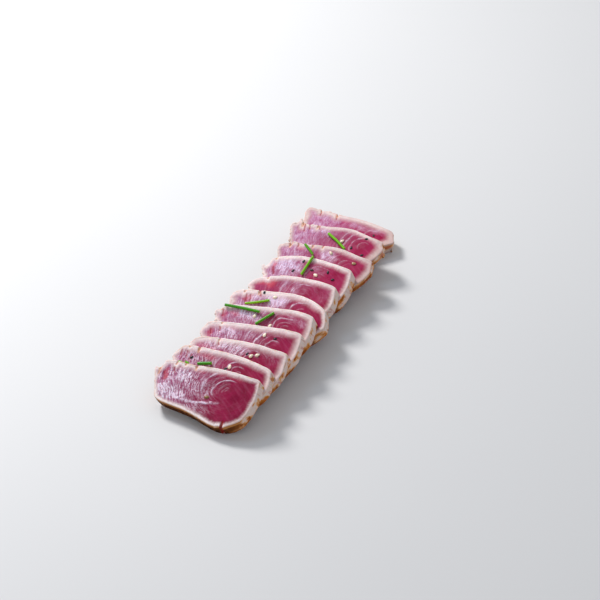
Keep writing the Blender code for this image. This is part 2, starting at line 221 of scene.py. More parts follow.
def smooth_step(low, high, value):
    """0 below low, 1 above high, and smooth in between."""
    share = np.clip((value - low) / (high - low), 0, 1)
    return share * share * (3 - 2 * share)


def places_of(mesh):
    """Where the mesh's points are, a row of three numbers for each."""
    places = np.zeros(3 * len(mesh.vertices))
    mesh.vertices.foreach_get("co", places)
    return places.reshape(-1, 3)


def keep_marks(mesh, marks):
    """Keeps numbers or places for each of the mesh's points, by name, for its material to read."""
    for name, values in marks.items():
        kind, field = ("FLOAT", "value") if values.ndim == 1 else ("FLOAT_VECTOR", "vector")
        mesh.attributes.new(name, kind, "POINT").data.foreach_set(field, values.ravel())


def apply_modifier(piece, kind, **settings):
    """Applies a modifier to the active piece, with its settings in the order given."""
    modifier = piece.modifiers.new(kind, kind)
    for key, value in settings.items():
        setattr(modifier, key, value)
    bpy.ops.object.modifier_apply(modifier=modifier.name)


def own_frame(mesh, parallel=0.9999):
    """The matrix that takes a solid to its slice's own frame in millimetres, and the slice's thickness.
    There X runs across from the middle of the lower back edge, Y up the slope and Z out of the cut face."""
    faces = mesh.polygons
    normals = np.array([face.normal[:] for face in faces])
    areas = np.array([face.area for face in faces])
    middles = np.array([face.center[:] for face in faces])
    # the cut face is by far the largest on the upper side, so the middle of the area there has its lean
    tilts = np.arctan2(-normals[:, 1], normals[:, 2])
    upper = np.flatnonzero((np.abs(normals[:, 0]) < 0.02) & (normals[:, 2] > 0.7))
    upper = upper[np.argsort(tilts[upper])]
    lean = tilts[upper][np.searchsorted(np.cumsum(areas[upper]), areas[upper].sum() / 2)]
    out = np.array([0, -math.sin(lean), math.cos(lean)])
    heights, aligned = middles @ out, normals @ out
    face_height = np.median(heights[aligned > parallel])
    back_height = np.median(heights[aligned < -parallel])
    xs = middles[:, 0]
    lies_flat = lean <= 0.02
    foot = middles[:, 1].min() if lies_flat else -back_height / math.tan(lean)
    to_own = (Matrix.Scale(1000, 4) @ Matrix.Translation((-(xs.min() + xs.max()) / 2, -foot, -back_height))
              @ Matrix.Rotation(-lean, 4, "X"))
    return to_own, 1000 * (face_height - back_height)


def flat_copy(node, name):
    """A merged copy of a slice's solid, lying in its own frame, with the matrix that takes it back, and its
    thickness. The lumps of seed on its cut face are pressed level."""
    to_own, thick = own_frame(node.data)
    slab = bpy.data.objects.new(name, node.data.copy())
    bpy.context.collection.objects.link(slab)
    bpy.ops.object.select_all(action="DESELECT")
    slab.select_set(True)
    bpy.context.view_layer.objects.active = slab
    slab.data.transform(to_own)
    bpy.ops.object.mode_set(mode="EDIT")
    bpy.ops.mesh.select_all(action="SELECT")
    bpy.ops.mesh.remove_doubles(threshold=0.01)
    bpy.ops.object.mode_set(mode="OBJECT")
    for point in slab.data.vertices:
        point.co.z = min(point.co.z, thick)
    return slab, to_own.inverted(), thick


def outline_edges(slab, height):
    """The edges of a section through a flat lying slab, as an array of starts and ends. The slab stays
    whole."""
    whole, slab.data = slab.data, slab.data.copy()
    section = slab.data
    bpy.ops.object.mode_set(mode="EDIT")
    bpy.ops.mesh.select_all(action="SELECT")
    bpy.ops.mesh.bisect(plane_co=(0, 0, height), plane_no=(0, 0, 1))
    bpy.ops.object.mode_set(mode="OBJECT")
    ends = places_of(section)[np.array([edge.vertices[:] for edge in section.edges])]
    slab.data = whole
    bpy.data.meshes.remove(section)
    return ends[np.abs(ends[..., 2] - height).max(axis=1) < 1e-3][..., :2]


def distance_to(edges, u, v):
    """How far each place is from the nearest of the edges."""
    nearest = np.full(len(u), 1e9)
    for start, end in edges:
        along = end - start
        share = ((u - start[0]) * along[0] + (v - start[1]) * along[1]) / max(along @ along, 1e-9)
        share = np.clip(share, 0, 1)
        away = np.hypot(u - start[0] - share * along[0], v - start[1] - share * along[1])
        nearest = np.minimum(nearest, away)
    return nearest


def split_edges(edges, level=1.5, inside=2.2, steep=0.4):
    """Which edges of an outline run down into a split: steep ones, that many millimetres inside the
    outermost edges on their own level."""
    rise = np.abs(edges[:, 1] - edges[:, 0])
    middles = edges.mean(axis=1)
    across = middles[:, 0]
    beside = np.abs(middles[:, None, 1] - middles[None, :, 1]) < level
    first = np.where(beside, across[None, :], np.inf).min(axis=1)
    last = np.where(beside, across[None, :], -np.inf).max(axis=1)
    return (rise[:, 0] < steep * rise[:, 1]) & (across > first + inside) & (across < last - inside)


def evened_normals(mesh, rounds=4):
    """The normals of the mesh's points, each evened out with its neighbours'."""
    normals = np.zeros(3 * len(mesh.vertices))
    mesh.vertex_normals.foreach_get("vector", normals)
    normals = normals.reshape(-1, 3)
    pairs = np.zeros(2 * len(mesh.edges), int)
    mesh.edges.foreach_get("vertices", pairs)
    one, other = pairs.reshape(-1, 2).T
    for _ in range(rounds):
        total = normals.copy()
        np.add.at(total, one, normals[other])
        np.add.at(total, other, normals[one])
        normals = total / np.linalg.norm(total, axis=1)[:, None]
    return normals


def patches(u, v, spots, seed):
    """How strongly each place lies in one of the soft spots: the middle, half the width and height, and the
    strength of each."""
    shade = np.zeros(len(u))
    for place_u, place_v, wide, high, strength in spots:
        away = np.hypot((u - place_u) / wide, (v - place_v) / high) + 0.4 * ripple(u, v, 5, seed)
        shade = np.maximum(shade, strength * (1 - smooth_step(0.4, 1.35, away)))
    return shade


def wavy_lines(u, v, ends, width, seed):
    """1 on the lines from start to end, and softly 0 beside them."""
    wavy_u, wavy_v = u + 0.5 * ripple(u, v, 3, seed), v + 0.5 * ripple(u, v, 3, -seed)
    return np.exp(-(distance_to(np.array(ends, float), wavy_u, wavy_v) / width) ** 2)


# What each cut face shows, in its own millimetres:
#   eye, rings      the eye of its muscle rings, how far from it each ring runs and how strongly it shows
#   top, side       how far the heat went in from the top edge, and from the right one
#    fibres, cloudy  where the fibrous left end stops, and how strongly painted sheen veils it
#    milky, flush  milky patches of painted sheen, and flushed patches, each its middle, half its width and
#                        height, and its strength
#    creases, tears  wet creases that stand up with a painted highlight, and torn grooves, each its start and
#    end
Marks = namedtuple("Marks", "eye rings top side fibres cloudy milky flush creases tears")
MARKS = {
    1: Marks((17, 25.5), ((9.6, 1.1), (17.6, 0.8), (2.6, 0.25), (13.4, 0.2)), 3.8, 2.7, -9, 0.8,
             ((-21, 11, 10, 4, 1.2), (-18, 25, 9, 4, 0.6), (-2, 21, 11, 7, 0.3), (-2, 8, 14, 4, 0.2),
              (14, 20, 6, 10, 0.06)),
             ((-30, 24, 1.5, 3.4, 0.8), (-28.2, 20, 1.5, 3.6, 0.9), (-25, 29, 4, 1.6, 0.5),
              (-10, 33, 9, 2, 0.5), (8, 36, 20, 2, 0.25)),
             (((-13, 9.2), (-6, 9.6)), ((-6, 9.5), (1, 10.8)), ((0.5, 10.8), (6, 12.5)),
              ((5, 12.5), (10, 13.7)), ((9.5, 13.8), (15.5, 15.8)), ((-24, 12.6), (-19, 10.2))),
             (((-31, 23), (-28.5, 18)), ((-25.5, 28), (-24, 25)))),
    2: Marks((14, 25), ((3, 0.4), (7, 0.4), (11, 0.9), (20, 0.5)), 4.8, 4.0, -14, 0.6,
             ((-25, 25, 9, 6, 0.25), (-12, 27, 8, 5, 0.3)),
             ((-14, 30, 8, 3, 0.6),), (),
             (((-33, 28), (-32, 24)), ((-29, 28.5), (-28, 25)), ((-25.5, 27), (-24.5, 23)),
              ((-21.5, 32), (-20.8, 30)))),
    3: Marks((12, 26), ((6, 0.7), (10, 0.4), (14, 0.7)), 4.9, 5.4, -10, 0.9,
             ((-24, 28, 9, 4, 0.3), (-6, 31, 12, 5, 0.65), (22, 33, 8, 4, 0.12)),
             ((-24, 24, 8, 3, 0.4),), (), (((-17.5, 31), (-16.5, 29)),)),
    4: Marks((19, 26), ((6, 0.6), (10.5, 0.3), (15, 0.9), (22.5, 0.5)), 5.6, 6.2, -10, 0.8,
             ((-16, 25, 6, 4, 0.55), (0, 29, 9, 5, 0.12)),
             ((-29.5, 21, 2.2, 5, 0.65), (-16, 30, 5, 2, 0.4)), (),
             (((-30, 23), (-28.5, 20)), ((-24.5, 27), (-23.5, 24)))),
    5: Marks((18, 25), ((3.4, 0.3), (6.6, 0.4), (10.4, 0.8), (13.4, 0.3)), 4.2, 5.2, -6, 0.7,
             ((-13, 25, 10, 4, 0.6), (-5, 32, 6, 3, 0.4), (24, 33, 8, 3.5, 0.25)),
             ((-29, 20, 2, 4, 0.5), (-22, 24, 5, 3, 0.5)), (), (((-31, 23), (-30, 19)),)),
    6: Marks((17, 26), ((4, 0.4), (9.6, 0.7), (13.5, 0.3)), 5.5, 2.6, -12, 1.0,
             ((-4, 29, 8, 6, 1.35), (-23, 26, 6, 5, 0.5)),
             ((-25.5, 24.5, 4, 4, 0.7),), (),
             (((-27, 25.5), (-25.5, 20.5)), ((-18.8, 31.5), (-17, 27.5)), ((-24, 26), (-22.5, 21.5)))),
    7: Marks((10, 24), ((10, 0.7), (14, 0.3), (18, 0.5)), 4.3, 3.6, -16, 0.0,
             ((2, 26, 4, 8, 0.3), (12, 29, 9, 6, 0.12), (-7, 28, 4, 6, 0.25), (23, 29, 6, 6, 0.08)),
             ((-19, 25, 7, 4, 0.9), (-26, 23, 4, 2, 0.6)), (), ()),
    8: Marks((12, 23), ((5, 0.3), (12, 0.4)), 3.9, 3.6, -14, 1.0,
             ((-15, 25, 12, 7, 0.85), (8, 29, 6, 4, 0.15)),
             ((-25, 23, 1.5, 5, 0.8),), (), (((-25, 20), (-22.5, 15)),)),
    9: Marks((20.2, 25), ((8, 0.3), (14, 0.3)), 4.0, 4.6, -16.8, 1.0,
             ((2.2, 29, 7, 4, 0.95), (-20.8, 30, 6, 3, 0.2)),
             ((-20.8, 30, 4, 3, 0.7),), (), (((-23.8, 32), (-22.4, 29)),)),
    10: Marks((23, 27), ((5, 0.3), (10, 0.5), (15, 0.5), (19, 0.4)), 3.6, 6.2, -15, 1.0,
              ((-13, 30, 10, 4, 0.5),),
              ((-29, 26, 3, 5, 0.3),), (),
              (((-28, 31), (-25, 24)), ((-24.5, 32), (-22.5, 27)), ((-17.4, 34), (-15, 29)))),
    11: Marks((22.7, 26), ((8, 0.4), (14.5, 0.4)), 6.2, 6.0, -11.3, 1.0,
              ((-13.3, 28, 13, 4, 0.1), (6, 30, 8, 4, 0.3), (21, 32, 9, 4, 0.4)),
              ((-6.3, 31, 4, 2, 0.3),), (),
              (((-27, 33), (-25, 28)), ((-14, 34), (-12.5, 30)))),
}
MIDWAY = 14  # mm up the slope, where the lower part of a slice ends
LOBED = range(3, 8)  # slices whose left end is cooked in a broad lobe
FLAKY = (3, 4, 5, 6, 10)  # slices with flakes that stand out from the skin

slabs = []
to_world = {}
for number, marks in MARKS.items():
    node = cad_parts[f"slice_{number:02d}"]
    slab, to_world[number], thick = flat_copy(node, f"tuna_{number:02d}")
    edges = outline_edges(slab, 0.5 * thick)
    apply_modifier(slab, "REMESH", mode="VOXEL", voxel_size=GRAIN, use_smooth_shade=True)
    apply_modifier(slab, "SMOOTH", factor=0.5, iterations=1)

    mesh = slab.data
    count = len(mesh.vertices)
    places = places_of(mesh)
    u, v, w = places.T
    normals = evened_normals(mesh)
    first, far, last = number == 1, number > 8, number == 11
    lit = min((number - 1) / 6, 1.0)  # how brightly the slice stands in the light
    haze = 0.8 if number > 7 else 1.0  # the painted sheen is weaker at the back
    smooth_sheen = 1.0 if number > 5 else 0.2  # and its patches of painted sheen have fewer strokes in them

    # the rim and the splits that cut into it, the cut face, the back and the skin, and the ways across them
    left, right = edges[..., 0].min(), edges[..., 0].max()
    steep = split_edges(edges)
    rim, split = distance_to(edges[~steep], u, v), distance_to(edges[steep], u, v)
    face = smooth_step(0.3, 0.7, normals[:, 2])
    back = smooth_step(0.3, 0.7, -normals[:, 2])
    skin = (1 - face - back) * (1 - smooth_step(0.5, 1.4, rim))
    rightwards = smooth_step(right - 16, right - 4, u)
    leftwards = 1 - smooth_step(left + 2, left + 14, u)
    upwards = smooth_step(MIDWAY, 28, v)
    downwards = 1 - smooth_step(5, MIDWAY, v)
    lobed = leftwards * (number in LOBED)

    # how far the heat went in from the edge, and how bright the rim is: painted shade darkens it to the
    # right, to the left and on the back slices, and it is brighter at top and bottom, with some tone at
    # random
    side = 2.6 * (1 - rightwards) + marks.side * rightwards
    fade = (side + (marks.top - side) * upwards * (1 - rightwards) * (1 - 0.4 * leftwards)
            + 0.6 * leftwards + 1.6 * lobed)
    hatch = ripple(3.0 * u, v, 2.4, number) * (1 - rightwards) + ripple(u, 3.0 * v, 2.4, number) * rightwards
    depth = rim + 0.5 * ripple(u, v, 7, number + 20) + 0.35 * hatch + 0.3 * ripple(u, v, 1.5, number + 21)
    core = 1.1 + 0.6 * (not first) * rightwards + 1.0 * last + 0.6 * downwards
    cooked = (1 - np.clip((depth - core) / fade, 0, 1)) ** 1.7
    rim_tone_and_shade = (0.75 - 0.4 * rightwards - 0.2 * leftwards + 0.1 * upwards + 0.15 * downwards
                 - 0.35 * far - 0.2 * last)
    rim_tone_and_shade += 0.12 * ripple(u, v, 5, number + 22) + 0.10 * ripple(u, v, 1.6, number + 23)

    # the muscle rings round the eye, and the strands that follow them out to the flaky end
    fibrous = 1 - smooth_step(marks.fibres - 6, marks.fibres + 8, u)
    du = u - marks.eye[0] + 1.4 * ripple(u, v, 13, number + 40) + 0.6 * ripple(u, v, 4, number + 41)
    dv = v - marks.eye[1] + 1.4 * ripple(u, v, 13, number + 60) + 0.6 * ripple(u, v, 4, number + 61)
    reach = np.hypot(du + 0.25 * fibrous * dv, 1.2 * dv)
    angle = np.arctan2(dv, du)
    along = angle * reach
    shown = smooth_step(0.9, 1.7, angle) + (angle < -2.2) * smooth_step(2.2, 3.0, -angle)
    flecks = ripple(u, v, 1.9, number + 120) + 0.6 * ripple(u, v, 1.1, number + 121)
    ring = np.zeros(count)
    for radius, strength in marks.rings:
        ring = np.maximum(ring, strength * np.exp(-((reach - radius) / (0.32 + 0.012 * radius)) ** 2))
    faint = 0.2 * (1 - 0.6 * lit) * np.clip(1.4 * ripple(reach, 0.25 * along, 2.0, number + 90) - 0.1, 0, 1)
    ring = np.maximum(ring * (0.8 + 0.6 * ripple(u, v, 4, number + 80) + 0.4 * flecks), faint)
    ring = np.clip(ring * np.clip(shown, 0, 1) * (1 - cooked), 0, 1)
    strands = (ripple(reach, 0.3 * along, 1.9, number + 100)
               + 0.5 * ripple(reach, 0.4 * along, 1.0, number + 101))
    fibre_lines = ripple(0.5 * u + 0.86 * v, 0.12 * (0.86 * u - 0.5 * v), 1.5, number + 110)
    fibre_lines = np.clip(1.6 * fibre_lines, 0, 1) * smooth_step(-6, 3, u - marks.eye[0])

    # the milky sheen on the raw flesh, partly its own pale film and partly a painted reflection of the lamps,
    # its flushed patches, and what folds up or tears open
    milky, flush = patches(u, v, marks.milky, number + 140), patches(u, v, marks.flush, number + 150)
    # wet creases, raised in the mesh, with a white highlight painted along them
    crease = wavy_lines(u, v, marks.creases, 0.75, number) * face
    crease *= np.clip(0.75 + 0.9 * flecks, 0, 1) * (1 - 0.8 * smooth_step(8, 16, np.abs(u - 1)))
    tear = wavy_lines(u, v, marks.tears, 0.7, number) * face
    # a mauve tint on the left of the face: partly paler flesh, partly painted sheen
    pale = (1 - smooth_step(left + 8, marks.eye[0] - 2, u)) * min(1.0, 0.3 + marks.cloudy)
    sheen = 0.01 + 0.04 * (1 - smooth_step(-12, 4, u - marks.eye[0])) + milky
    sheen += marks.cloudy * (0.28 * pale + 0.22 * fibrous)
    sheen *= 0.85 + 0.4 * strands * (1 - 0.6 * milky) + 0.25 * flecks + 0.5 * ripple(u, v, 4, number + 170)
    sheen *= (0.3 + 0.7 * np.clip(shown + smooth_step(6, 15, reach), 0, 1)) * haze * (1 - 0.55 * lobed)
    sheen = np.clip(sheen, 0, 1)
    rugged = np.clip(np.maximum(milky, fibrous) + 0.15 + 0.2 * pale, 0, 1)
    # painted shade: the gaps, the lowest places between the raised strands
    gaps = np.clip(-1.3 * strands - 0.5, 0, 1) * rugged * (1 - 0.6 * milky)

    # the seared skin: paler towards the top, browned in patches lower down, with cracks across it
    low = 1 - smooth_step(3, 22, v)
    under = np.clip(-normals[:, 1], 0, 1)
    topside = smooth_step(0.3, 0.8, normals[:, 1])
    girth = v - u
    seared = 0.9 * ripple(girth, 1.2 * w, 7, number + 200) + 0.55 * ripple(girth, 0.4 * w, 2.4, number + 210)
    seared += 0.3 * ripple(girth, w, 1.3, number + 211)
    seared -= 0.5 * topside * upwards * smooth_step(thick - 5, thick - 2.5, w) + 0.4 * leftwards
    seared += 0.85 * under + 0.35 * low + 0.5 * smooth_step(0.7, 1.0, 1 - w / thick) + 0.3 * far
    seared = smooth_step(-0.15, 1.0, seared)
    # where the skin faces down, away from the cut face, it is painted nearly black: partly burnt, partly
    # painted shade
    burnt_and_shaded = smooth_step(0.35, 0.9, under) * (1 - smooth_step(thick - 3.2, thick - 1.8, w))
    burnt_and_shaded *= np.clip(0.95 + 0.6 * ripple(girth, 0.3 * w, 1.4, number + 252), 0, 1)
    cracks = np.abs(ripple(girth + 0.25 * w, 0.04 * w, 4.5, number + 230))
    cracks = (1 - smooth_step(0.02, 0.11, cracks)) * skin
    cracks *= smooth_step(0.1, 0.4, ripple(girth, 0.3 * w, 9, number + 240) + 0.3 * rightwards)
    cracks *= ((1 - smooth_step(0.3, 0.8, leftwards)) * (1 - 0.5 * topside)
               * smooth_step(-0.4, 0.2, ripple(girth, w, 5, number + 245)))
    flakes = (smooth_step(-0.1, 0.6, ripple(girth, 0.5 * w, 3.4, number + 223))
              * smooth_step(thick - 6, thick - 2.5, w))
    flakes *= (smooth_step(0.3, 0.8, leftwards) * smooth_step(0.1, 0.5, -normals[:, 0])
               * (1.0 if number in FLAKY else 0.15))
    jagged = np.maximum(0.5 + 0.5 * low * ripple(u, v, 1.5, number + 251), 0.15)
    crust = np.exp(-(rim / jagged) ** 2) * smooth_step(thick - 1.3, thick - 0.6, w)
    broken = smooth_step(-0.1, 0.4, ripple(u, v, 5, number + 250))
    crust *= np.clip(broken + 0.7 * leftwards + 1.2 * low, 0, 1)
    crust = np.maximum(crust * (1 - 0.7 * flakes) * (1 - 0.7 * lit),
                       0.8 * smooth_step(0.3, 0.7, under) * smooth_step(thick - 3.2, thick - 2.2, w))

    # sculpting the cut face, its back and the skin
    raw = face * (1 - cooked)
    lift = raw * (0.32 * ripple(u, v, 11, number + 160) + 0.18 * ring + 0.25 * crease)
    lift += (raw * rugged * (1 - 0.5 * lit)
             * (0.18 * strands + 0.10 * flecks + 0.05 * ripple(u, v, 0.9, number + 130)))
    ends = np.maximum(leftwards, 0.3)
    lift -= face * cooked * (0.02 + 0.03 * hatch - 0.12 * ends * ripple(u, v, 2.2, number + 131))
    lift += back * 0.15 * ripple(u, v, 6, number + 180)
    lift += skin * (0.10 * ripple(girth, w, 3, number + 220) - 0.05 * seared - 0.15 * cracks)
    lift += (skin * leftwards
             * (0.4 * ripple(girth, w, 2.4, number + 221) + 0.2 * ripple(girth, w, 1.2, number + 222)))
    lift += 1.0 * flakes
    crown = (1 - smooth_step(0.3, 1.2, rim)) * smooth_step(0.2, 0.6, normals[:, 1]) * smooth_step(20, 26, v)
    uneven = (0.7 if far else 0.2) * (1 - smooth_step(-16, -6, u))
    lift += crown * (0.45 + uneven * ripple(u, 0.4 * w, 2.6, number + 260))
    lift -= 0.25 * (1 - smooth_step(0.1, 1.0, split)) * face + 0.25 * tear

    keep_marks(mesh, {
        "cooked": cooked, "rim_tone_and_shade": np.clip(rim_tone_and_shade, 0, 1), "lit": np.full(count, lit),
        # the creases join the rings as a painted highlight
        "ring": np.maximum(ring, 1.3 * crease), "fibre_lines": fibre_lines, "gaps": gaps,
        "sheen": sheen * (1 - cooked), "milk": np.clip(milky, 0, 1) * smooth_sheen,
        "flush": flush * (1 - cooked), "pale": pale, "tear": tear,
        "skin": skin, "seared": seared, "burnt_and_shaded": burnt_and_shaded, "cracks": cracks, "crust": crust,
        "split": (1 - smooth_step(0.35, 0.9, split)) * (v < MIDWAY),
        "nick": ((1 - smooth_step(0.35, 1.0, split)) * (v >= MIDWAY)
                 * (0.3 + 0.7 * smooth_step(thick - 4, thick - 1.5, w))),
        "own_place": np.column_stack([u, v, w + 40.0 * number]),
        "ring_place": np.column_stack([reach, 0.2 * along, np.full(count, 50.0 * number)]),
    })
    mesh.vertices.foreach_set("co", (places + normals * lift[:, None]).ravel())
    mesh.transform(to_world[number])
    mesh.vertices.foreach_set("co", np.clip(places_of(mesh), *cad_box).ravel())
    mesh.shade_smooth()
    mesh.materials.clear()
    slabs.append(slab)
    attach(slab, "root")
    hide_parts(node.name)

# tones of the raw flesh, in shaded and lit copies as painted shade and painted light by where the slice
# stands in the row, and darker in the gaps between its strands as painted shade
SHADED_RED, SHADED_PINK = (0.215, 0.002, 0.034), (0.28, 0.004, 0.050)
LIT_RED, LIT_PINK = (0.29, 0.003, 0.050), (0.34, 0.010, 0.075)
PALE_ROSE, FIBRE_ROSE, FLUSHED = (0.34, 0.045, 0.185), (0.55, 0.16, 0.28), (0.62, 0.07, 0.10)
GAP_RED, STROKE_RED, TEAR_RED = (0.20, 0.004, 0.035), (0.21, 0.004, 0.045), (0.32, 0.015, 0.035)
# painted sheen in lavender-white, in shaded and lit copies, and the white of the rings with painted glints
SHADED_SHEEN_PAINT, LIT_SHEEN_PAINT, RING_GLINT_WHITE = (0.84, 0.69, 0.82), (0.77, 0.60, 0.80), (0.88, 0.76, 0.92)
# tones that the heat left, from the rim to the burnt underside; the rim runs from painted shade to painted
# light, and the underside's near-black is partly painted shade
RIM_SHADE_BEIGE, RIM_LIGHT_WHITE = (0.52, 0.37, 0.35), (0.95, 0.82, 0.81)
HIDE_GREY, HIDE_PALE = (0.62, 0.46, 0.41), (0.80, 0.67, 0.62)
TOASTED, TOASTED_PALE = (0.62, 0.28, 0.10), (0.80, 0.47, 0.24)
BROWNED, BROWNED_PALE = (0.28, 0.062, 0.006), (0.50, 0.155, 0.02)
BURNT_SHADE_DARK, BURNT_SHADE_PALE = (0.03, 0.008, 0.003), (0.10, 0.028, 0.008)
CRUST_BROWN, CRACK_RED = (0.52, 0.25, 0.085), (0.50, 0.13, 0.11)
SPLIT_RED, NICK_ORANGE = (0.28, 0.015, 0.014), (0.70, 0.36, 0.24)

tuna, shader, paint = new_finish("seared_tuna")
mark = paint.mark
place = mark("own_place", "Vector")
cooked, sheen, skin, lit = mark("cooked"), mark("sheen"), mark("skin"), mark("lit")
blotches = place.noise(8.0, 3)
patchy = blotches.between(0.35, 0.65)
fine = place.noise(1.3, 3, 0.6)
grains = place.noise(0.6, 2, 0.6)
# strokes of painted glint in the sheen, smoother in its calm patches
strokes = mark("ring_place", "Vector").noise(1.0, 3, 0.6) * 0.68 + place.noise(1.2, 3, 0.65) * 0.32
calm = paint.maths("MAXIMUM", mark("milk"), lit * 0.75)
# painted shade between the strokes of painted glint
dark_strokes = (0.46 - strokes).between(0.0, 0.14) * sheen.between(0.05, 0.4) * (0.8 - 0.7 * calm)
sheen_strokes = strokes.between(0.44, 0.57) * (1 - 0.75 * calm) + 0.38 * calm

# painted shade and painted light: a shaded copy of the flesh at the front of the row, a lit copy at the back
flesh = (lit * 0.8).blend(patchy.blend(SHADED_RED, SHADED_PINK), patchy.blend(LIT_RED, LIT_PINK))
# the mauve tint on the left of the face, partly paler flesh and partly painted sheen
flesh = (mark("pale") * (0.35 + 0.5 * blotches)).blend(flesh, PALE_ROSE)
flesh = (mark("fibre_lines") * 0.12).blend(flesh, FIBRE_ROSE)
# painted shade in the gaps between the raised strands and between the glints
flesh = (mark("gaps") * 0.7).blend(flesh, GAP_RED)
flesh = dark_strokes.blend(flesh, STROKE_RED)
# painted sheen: lavender-white strokes where the wet face would reflect the bluish lamp
flesh = (sheen * (0.12 + 1.5 * sheen_strokes)).blend(flesh, lit.blend(SHADED_SHEEN_PAINT, LIT_SHEEN_PAINT))
flesh = (mark("flush") * (0.5 + 0.45 * sheen_strokes)).blend(flesh, FLUSHED)
# the muscle rings, partly pale tissue and partly painted glint, and the painted highlight of the creases
flesh = (mark("ring") * (0.5 + 0.5 * grains.between(0.4, 0.6))).blend(flesh, RING_GLINT_WHITE)
# the cooked rim, darker where painted shade lies on it to the right, to the left and on the back slices
flesh = cooked.blend(flesh, (mark("rim_tone_and_shade") + 0.12 * grains).blend(RIM_SHADE_BEIGE, RIM_LIGHT_WHITE))
flesh = (mark("tear") * 0.8).blend(flesh, TEAR_RED)

seared = mark("seared") * (0.75 + 0.5 * fine)
hide = fine.blend(HIDE_GREY, HIDE_PALE)
hide = seared.between(0.05, 0.5).blend(hide, fine.blend(TOASTED, TOASTED_PALE))
hide = seared.between(0.4, 1.0).blend(hide, blotches.between(0.4, 0.6).blend(BROWNED, BROWNED_PALE))
# the underside facing down, partly burnt and partly painted shade
hide = mark("burnt_and_shaded").blend(hide, fine.blend(BURNT_SHADE_DARK, BURNT_SHADE_PALE))
hide = (mark("cracks") * 0.6).blend(hide, CRACK_RED)

colour = skin.between(0.25, 0.75).blend(flesh, hide)
colour = (mark("crust") * (0.35 + 0.7 * fine)).blend(colour, CRUST_BROWN)
colour = (mark("split") * 0.9).blend(colour, SPLIT_RED)
colour = (mark("nick") * 0.75).blend(colour, NICK_ORANGE)
bumps = (place.noise(0.9, 2, 0.6) * 0.6 + place.noise(2.4, 2) * 0.5) * (0.6 + 1.2 * sheen)
set_shader(shader, {
    "Base Color": colour, "Roughness": 0.42 + 0.2 * cooked + 0.16 * fine,
    "Normal": paint.make("Bump", (), {"Strength": 0.4, "Distance": 0.0005, "Height": bumps}),
    "Coat Weight": (1 - cooked) * (1 - skin) * (0.08 + 0.8 * sheen + 0.5 * mark("ring")) * (1 - 0.5 * lit),
    "Coat Roughness": 0.2, "Coat IOR": 1.4, "IOR": 1.36, "Specular IOR Level": 0.12,
    "Subsurface Weight": 0.12, "Subsurface Radius": (1.0, 0.35, 0.25), "Subsurface Scale": 0.0012,
})
for slab in slabs:
    slab.data.materials.append(tuna)


# The chives: cut lengths of a thin hollow leaf, scattered over the slices. Each is a tube with a slight bow,
# its wall showing at the cut ends.

# Each chive's slice, its two ends there, its bow and its radius in millimetres, and how light its green is.
CHIVES = [
    (2, (-16.8, 22.2), (-7.6, 26.0), 0.0, 1.05, 0.0),
    (5, (-31.1, 26.2), (-4.9, 30.2), 0.25, 0.95, 0.10),
    (6, (-24.2, 18.2), (-8.6, 26.6), -0.2, 0.82, 0.95),
    (5, (-3.3, 20.9), (5.3, 33.2), 0.15, 0.95, 0.20),
    (9, (-18.1, 31.6), (-8.7, 26.2), 0.2, 0.86, 0.30),
    (8, (-2.0, 21.3), (-0.5, 37.4), 0.1, 0.9, 0.70),
    (10, (-6.4, 27.8), (11.2, 20.2), 0.4, 0.98, 0.75),
    (2, (-30.5, 18.6), (-27.9, 19.0), 0.0, 0.8, 0.6),
    (2, (-25.7, 20.4), (-22.9, 20.0), 0.0, 0.8, 0.6),
]
# How thick each slice is, in millimetres: what lies on its cut face is set at that height.
THICK = {1: 9.8, 2: 9.2, 3: 7.8, 4: 9.4, 5: 10.8, 6: 9.8, 7: 9.8, 8: 11.4, 9: 9.0, 10: 10.8, 11: 10.0}
SIDES = 20
SEGMENT = 1.2  # mm between the rings of points along a stem
WALL = 0.24  # mm of leaf round the hollow
ROUNDED = 0.05  # mm, the edges of the cut ends
LIFT = 0.3  # mm of air between the cut face and the stem

FURROW_DARK, FURROW_LIGHT = (0.022, 0.21, 0.001), (0.15, 0.43, 0.001)
RIB_DARK, RIB_LIGHT = (0.055, 0.33, 0.002), (0.28, 0.61, 0.003)
CUT_GREEN = (0.50, 0.74, 0.18)

leaf, shader, paint = new_finish("chive")
stripes = paint.mark("leaf_place", "Vector").stretched(3.0, 0.06, 1.0).noise(1.0, 2)
light = paint.mark("green")
furrow, rib = light.blend(FURROW_DARK, FURROW_LIGHT), light.blend(RIB_DARK, RIB_LIGHT)
green = stripes.between(0.35, 0.7).blend(furrow, rib)
set_shader(shader, {
    "Base Color": paint.mark("cut").blend(green, CUT_GREEN), "Roughness": 0.36 + 0.2 * stripes,
    "Coat Weight": 0.12, "Coat Roughness": 0.15, "Specular IOR Level": 0.2,
    "Subsurface Weight": 0.1, "Subsurface Scale": 0.001,
})

